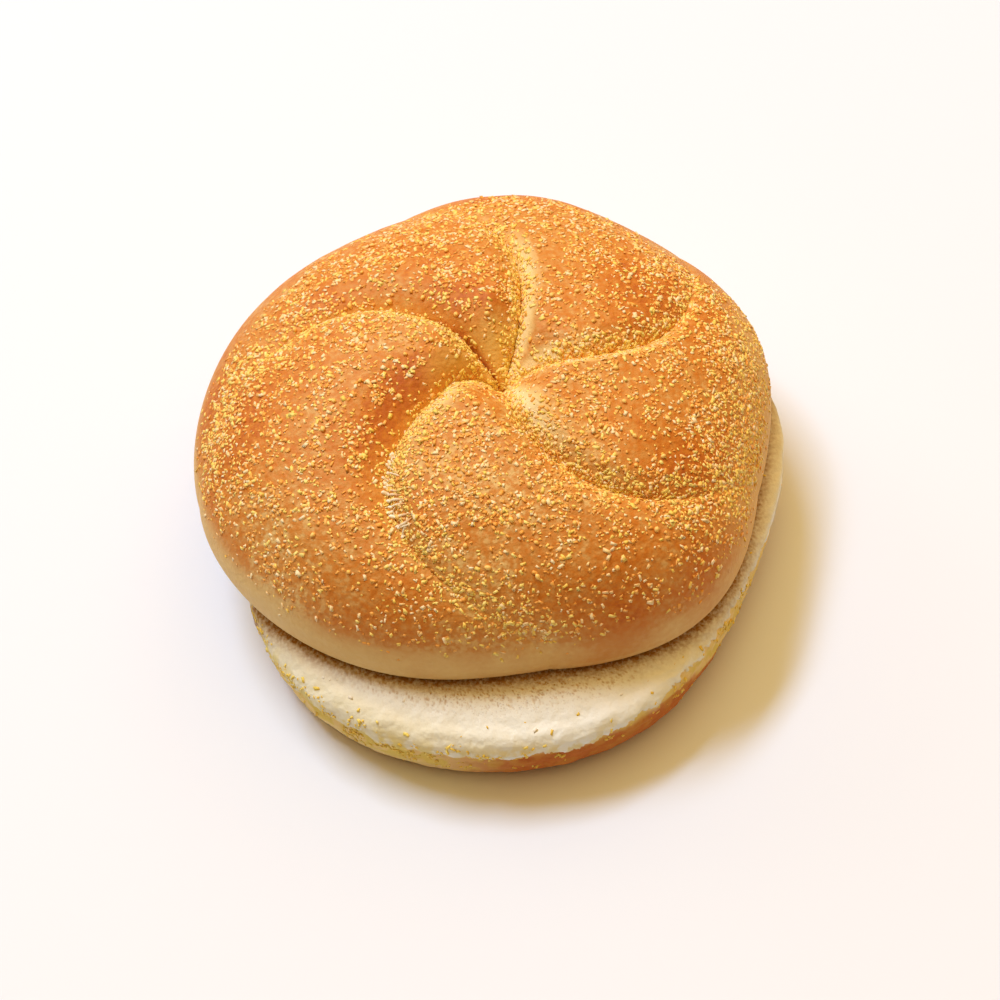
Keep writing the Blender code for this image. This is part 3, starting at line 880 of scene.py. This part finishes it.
def pore_depths(points, chosen):
    """How deep in a pore the chosen points lie: 1 in the middle of one and 0 between them."""
    pick = random.Random(PORE_SEED)
    middles = kdtree.KDTree(PORE_COUNT)
    widths = []
    for number in range(PORE_COUNT):
        reach = BUN_RADIUS * math.sqrt(pick.uniform(0.4, 1.0))
        way = pick.uniform(0, 2 * math.pi)
        middles.insert((reach * math.cos(way), reach * math.sin(way), 0), number)
        width = pick.uniform(*PORE_WIDTHS)
        widths.append(width * (BIG_PORE_SIZE if pick.random() < BIG_PORES else 1.0))
    middles.balance()
    depths = np.zeros(len(points))
    for i in np.nonzero(chosen)[0]:
        _, nearest, distance = middles.find((points[i, 0], points[i, 1], 0))
        depths[i] = max(0.0, 1 - (distance / widths[nearest]) ** 2)
    return depths


def make_heel():
    """The heel as one closed mesh: crumb, rounded rim, side and flat base."""
    angle = np.arange(HEEL_SPOKES) * 2 * math.pi / HEEL_SPOKES
    radius = plan_radius(HEEL_WAVES, angle)
    rings, side_ring, base_ring = heel_rings(angle)
    one_ring = np.column_stack([np.cos(angle), np.sin(angle), np.zeros(HEEL_SPOKES)])
    points = np.concatenate([one_ring * (radius * share)[:, None] for share, _ in rings])
    points[:, 2] = np.concatenate([heights for _, heights in rings])
    share = np.repeat([share for share, _ in rings], HEEL_SPOKES)
    outward = np.tile(one_ring, (len(rings), 1))
    ring_number = np.repeat(np.arange(len(rings)), HEEL_SPOKES)
    outside = ring_number < base_ring - 1
    over = np.clip((share - RIM_START) / (HEEL_SIDE_SHARE - RIM_START), 0, 1)
    over = np.where(ring_number >= side_ring, 1.0, over)
    facing = outward * over[:, None] ** 1.5 + [[0, 0, 1]] * (1 - over[:, None] ** 3) ** 0.5
    facing /= np.linalg.norm(facing, axis=1)[:, None]

    # The torn edge of the white crumb wanders along the rim: highest in front, lowest at the left,
    # soft where the rim rolled over and sharp where it tore, at the right front
    slow = np.array([noise.noise(Vector((4 * c, 4 * d, 0.3))) for c, d, _ in one_ring])
    fast = np.array([noise.fractal(Vector((14 * c, 14 * d, 7.1)), 0.6, 2.3, 5) for c, d, _ in one_ring])
    front = ease(-0.1, 0.7, towards(one_ring, 300))
    left = ease(-0.3, 0.8, towards(one_ring, 215))
    torn = TORN_HEIGHT - TORN_LOWER_AWAY * (1 - front) - TORN_LOWER_LEFT * left
    torn = torn + MM * (1.1 * slow + 1.5 * fast) * (0.3 + 0.7 * front)
    torn = np.tile(torn, len(rings))
    ragged = MM * np.tile(fast, len(rings))
    sharp = ease(0.2, 0.9, towards(outward, 320))
    soft = TORN_SOFT + (TORN_SHARP - TORN_SOFT) * sharp
    crumb = ease(-soft, soft, points[:, 2] - torn) * outside

    # Wrinkles run along the rolled rim, the pores are pressed shut towards it, and where the crumb
    # ends it stands up as a low lip
    along_rim = np.column_stack([8 * outward[:, :2], points[:, 2] / WRINKLE_HEIGHT])
    wrinkle = cloudy(along_rim, 1.0, 0.7, 2.2, 3) * ease(0.05, 0.4, over)
    shown = outside & (share > CRUMB_SHARE * 0.9)
    pore = pore_depths(points, shown & (over < 0.8)) * (1 - ease(0.05, 0.7, over))
    rough = cloudy(points, ROUGH_WIDTH, 0.6, 2.1, 3) * (0.25 + 0.75 * (1 - ease(0.1, 0.6, over)))
    lip = ease(0.55, 0.8, over) * crumb
    relief = WRINKLE_DEPTH * wrinkle - PORE_DEPTH * pore + ROUGH_DEPTH * rough
    relief = relief + TORN_LIP * lip - RELIEF_SUNK
    points += facing * (relief * shown)[:, None]

    # Brown crust low down all round but for the left, and a browner foot: partly the bake where it
    # stood on the stone, partly painted shade where the base meets the table
    browned = ease(-0.9, -0.6, towards(outward, 40))
    crust_top = CRUST_HEIGHT - CRUST_DROP * ease(0.45, 0.85, towards(outward, 10)) + ragged
    bake = ease(*CRUST_FADE, crust_top - points[:, 2]) * browned
    foot = 1 - ease(*FOOT_BAKE_AND_SHADE_FADE, points[:, 2] + 0.5 * ragged)
    in_band = np.exp(-(((points[:, 2] - MEAL_BAND_HEIGHT) / MEAL_BAND_WIDTH) ** 4))
    meal = in_band * (1 - 0.8 * bake) * (0.25 + 0.75 * ease(0.1, 0.6, towards(outward, 270)))
    fields = {
        "crumb": crumb,
        "bake": np.maximum(bake, 0.85 * foot),
        "pore": pore,
        "meal": meal,
        "pressed": ease(0.05, 0.7, over),
        "rolled": ease(0.3, 0.8, over) * (1 - sharp),
    }
    return make_mesh("heel_bread", points, grid_faces(len(rings), HEEL_SPOKES), fields)


heel = make_heel()
heel_axis = set_in_frame(heel, "heel")
close_pole(heel)
heel.data.shade_smooth()
heel_points = point_places(heel.data)

# The crumb's tan pores thin out beyond the crown, partly painted shade, and a tan ring is painted shade that
# the crown's edge casts on the crumb around it
CROWN_SHADE_WIDTH = 2.4 * MM
from_crown = heel_points - np.array(crown_axis)
crown_way = np.arctan2(from_crown[:, 1], from_crown[:, 0])
beyond = np.hypot(from_crown[:, 0], from_crown[:, 1]) - CROWN_CUT_SHARE * plan_radius(CROWN_WAVES, crown_way)
set_field(heel.data, "pore", field_values(heel.data, "pore") * (1 - ease(3 * MM, 8 * MM, beyond)))
ring = np.exp(-((np.abs(beyond) / CROWN_SHADE_WIDTH) ** 1.5)) * (1 - 0.5 * ease(0.4 * MM, 2 * MM, -beyond))
set_field(heel.data, "ring", ring)


def torn_bread():
    """The heel's bread: set foam of gluten and starch, cut and torn, with a thin baked skin. It is
    cream with tan pores above, and the skin, dry and matt, is pale straw where the oven's heat
    hardly reached it and orange-brown low down, with smears of the sheet's yellow meal."""
    material, tree, shader = start_material("torn_bread", roughness=0.8, ior=1.4)
    place = put(tree, "ShaderNodeTexCoord", out="Object")
    crumb, bake, pore, meal, pressed, rolled, ring = (
        put(tree, "ShaderNodeAttribute", out="Fac", attribute_name=field)
        for field in ("crumb", "bake", "pore", "meal", "pressed", "rolled", "ring")
    )
    patches, speckle, mottle, streaks, fibres = (
        put(tree, "ShaderNodeTexNoise", {"Vector": place, "Scale": 1 / (width * MM), "Detail": detail})
        for width, detail in ((3, 4.0), (0.7, 3.0), (1.5, 4.0), (3.2, 4.0), (1.1, 6.0))
    )

    # Fine cells half a millimetre wide, pressed shut on the rolled rim, and the larger open pores
    cells = put(tree, "ShaderNodeTexVoronoi", {"Vector": place, "Scale": 1 / (0.5 * MM)})
    fine = put(tree, "ShaderNodeMapRange", {0: cells, 1: 0.0, 2: 0.4, 3: 1.0, 4: 0.0})
    unpressed = put(tree, "ShaderNodeMapRange", {0: pressed, 1: 0.0, 2: 0.8, 3: 0.45, 4: 0.05})
    pits = put(tree, "ShaderNodeMath", {0: fine, 1: unpressed}, operation="MULTIPLY")
    holes = put(tree, "ShaderNodeMath", {0: pits, 1: pore}, operation="ADD", use_clamp=True)

    # The cut face's cream is painted light: near white, paler than the rolled rim, against the crown's shade
    # on it
    lightened_cut_cream, rim_cream, straw, brown = (
        put(tree, "ShaderNodeMix", {0: spots, 6: linear(dark), 7: linear(light)}, out=2, data_type="RGBA")
        for spots, dark, light in (
            (patches, "#FBF7E9", "#FFFEF5"),
            (patches, "#F1E5C0", "#FDF3D6"),
            (patches, "#F4CC7A", "#FFE19A"),
            (mottle, "#BE5E18", "#D87E2E"),
        )
    )
    spotted = put(tree, "ShaderNodeMapRange", {0: speckle, 1: 0.3, 2: 0.7, 3: 0.55, 4: 1.3})
    painted_crown_shade = put(tree, "ShaderNodeMath", {0: ring, 1: spotted}, operation="MULTIPLY", use_clamp=True)
    smear = put(tree, "ShaderNodeMapRange", {0: streaks, 1: 0.46, 2: 0.56, 3: 0.0, 4: 0.75})
    smeared = put(tree, "ShaderNodeMath", {0: smear, 1: meal}, operation="MULTIPLY")

    # The crumb is creamier where it rolled over, tan with painted shade under and around the crown's edge,
    # and tan in its holes
    inside = lightened_cut_cream
    for share, tone in ((rolled, rim_cream), (painted_crown_shade, linear("#A06A26")), (holes, linear("#B88A48"))):
        inside = put(tree, "ShaderNodeMix", {0: share, 6: inside, 7: tone}, out=2, data_type="RGBA")

    # The skin is straw and bakes brown, the crumb ends it, and yellow meal is smeared over both
    bread = straw
    for share, tone in ((bake, brown), (crumb, inside), (smeared, linear("#ECCE4E"))):
        bread = put(tree, "ShaderNodeMix", {0: share, 6: bread, 7: tone}, out=2, data_type="RGBA")
    tree.links.new(bread, shader.inputs["Base Color"])

    # It is pitted by its cells, and fibrous all over
    pitted = put(tree, "ShaderNodeBump", {"Height": pits, "Strength": 0.8, "Distance": -0.3 * MM})
    fibrous = {"Height": fibres, "Strength": 0.5, "Distance": 0.5 * MM, "Normal": pitted}
    tree.links.new(put(tree, "ShaderNodeBump", fibrous), shader.inputs["Normal"])
    return material


heel.data.materials.append(torn_bread())
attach(heel, "root")
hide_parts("heel")

# Meal that the dough picked up from the baking sheet, in clumps, and crumbs that the knife left
HEEL_CLUMPS = 4 * MM
SMALL_CHIP = 0.7 * MM
clumps = cloudy(heel_points, HEEL_CLUMPS, 0.8, 2.1, 3)
on_side = field_values(heel.data, "meal") * np.clip(4 * clumps - 0.1, 0.01, 2.5)
on_crumb = field_values(heel.data, "crumb") * (heel_points[:, 2] > 8 * MM)
front_rim = ease(0.0, 0.6, -(heel_points[:, 1] - heel_axis.y) / BUN_RADIUS) * on_crumb
HEEL_BITS = (
    # name, how thickly they lie, how many, how uneven in size, the largest, how high they lie, tones
    ("heel_meal", on_side, 760, 0.3, 1.8, 0.0, ("sheet_meal", "#FCCF48", "#FFF289", "#ECB744")),
    ("loose_crumbs", front_rim, 45, 0.35, 2.0, -0.05, ("crumb_bits", "#F4E4C4", "#FFFAF0", "#F2DDB4")),
)
for name, density, count, uneven, largest, sink, tones in HEEL_BITS:
    points, facings = scatter(heel, density, count, draw)
    sizes = SMALL_CHIP * np.clip(draw.lognormal(0, uneven, count), 0.5, largest)
    bits = make_chips(name, points, facings, sizes, sink, draw)
    bits.data.shade_smooth()
    bits.data.materials.append(cornmeal(*tones))
    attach(bits, "root")

# ---------------------------------------------------------------------------------------------
# The table and the light: a plain pale board of matt painted wood, one cool softbox high behind
# the bun on the left, two weak panels lower down on both sides, and a warm glow from above that
# fills the shadows. The camera stands in front.
TABLE_WIDTH = 6
bpy.ops.mesh.primitive_plane_add(size=TABLE_WIDTH, location=(0, 0, 0))
table = bpy.context.object
table.name = "table"
board, _, board_shader = start_material("pale_board", roughness=0.9, ior=1.5)
board_shader.inputs["Base Color"].default_value = (0.83, 0.855, 0.93, 1.0)
table.data.materials.append(board)

bun_middle = Vector((crown_axis.x, crown_axis.y, 0.02))


def softbox(name, offset, width, depth, power, colour):
    """A rectangular soft light at an offset from the bun, facing straight down."""
    lamp = bpy.data.lights.new(name, "AREA")
    lamp.shape = "RECTANGLE"
    lamp.size = width
    lamp.size_y = depth
    lamp.energy = power
    lamp.color = colour
    holder = bpy.data.objects.new(name, lamp)
    holder.location = bun_middle + offset
    bpy.context.scene.collection.objects.link(holder)
    return holder


COOL_WHITE = (0.53, 0.71, 1.0)
WARM_WHITE = (1.0, 0.97, 0.88)
OVERHEAD_TURN = math.radians(57)
overhead = softbox("overhead_panel", Vector((-1.40, 1.60, 3.20)), 1.92, 0.64, 159.0, COOL_WHITE)
overhead.rotation_euler.z = OVERHEAD_TURN
SIDE_PANELS = (
    # name, offset from the bun, power
    ("left_panel", Vector((-2.88, 2.12, 1.92)), 11.4),
    ("right_panel", Vector((1.08, 2.76, 2.28)), 5.2),
)
for name, offset, power in SIDE_PANELS:
    panel = softbox(name, offset, 1.44, 1.2, power, WARM_WHITE)
    panel.rotation_euler = (-offset).to_track_quat("-Z", "Y").to_euler()

# The room glows warm from this direction and less and less away from it; its walls look pale
GLOW_WAY = (0.06, 0.31, 0.95)
GLOW_COLOUR = (1.0, 0.685, 0.26, 1.0)
GLOW_STRENGTH = 1.62
GLOW_EDGE = 0.33
world = bpy.data.worlds.new("room")
world.use_nodes = True
bpy.context.scene.world = world
room = world.node_tree
background = room.nodes["Background"]
background.inputs["Color"].default_value = GLOW_COLOUR
way = put(room, "ShaderNodeTexCoord", out="Generated")
near = put(room, "ShaderNodeVectorMath", {0: way, 1: GLOW_WAY}, out="Value", operation="DOT_PRODUCT")
glow = put(room, "ShaderNodeMapRange", {0: near, 1: GLOW_EDGE, 2: 1.0, 3: 0.0, 4: GLOW_STRENGTH})
room.links.new(glow, background.inputs["Strength"])
walls = put(room, "ShaderNodeBackground", {"Color": linear("#F2F1EE"), "Strength": 1.0})
seen = put(room, "ShaderNodeLightPath", out="Is Camera Ray")
both = put(room, "ShaderNodeMixShader", {0: seen, 1: background.outputs[0], 2: walls})
room.links.new(both, room.nodes["World Output"].inputs["Surface"])

# The camera looks down at 57 degrees from 0.6 m, along +Y, and aims a little below and before the
# middle of the crown
CAMERA_HEIGHT_ANGLE = math.radians(57)
CAMERA_DISTANCE = 0.6
CAMERA_AIM = Vector((0.0023, -0.0095, -0.00615))
LENS_LENGTH = 108.7
SENSOR_WIDTH = 36
middle = Vector((crown_axis.x, crown_axis.y + 0.0004, 0.020))
back_off = Vector((0, -math.cos(CAMERA_HEIGHT_ANGLE), math.sin(CAMERA_HEIGHT_ANGLE)))
lens = bpy.data.cameras.new("camera")
lens.lens = LENS_LENGTH
lens.sensor_width = SENSOR_WIDTH
camera = bpy.data.objects.new("camera", lens)
camera.location = middle + CAMERA_DISTANCE * back_off
camera.rotation_euler = (middle + CAMERA_AIM - camera.location).to_track_quat("-Z", "Y").to_euler()
bpy.context.scene.collection.objects.link(camera)
bpy.context.scene.camera = camera
bpy.context.scene.view_settings.view_transform = "Standard"
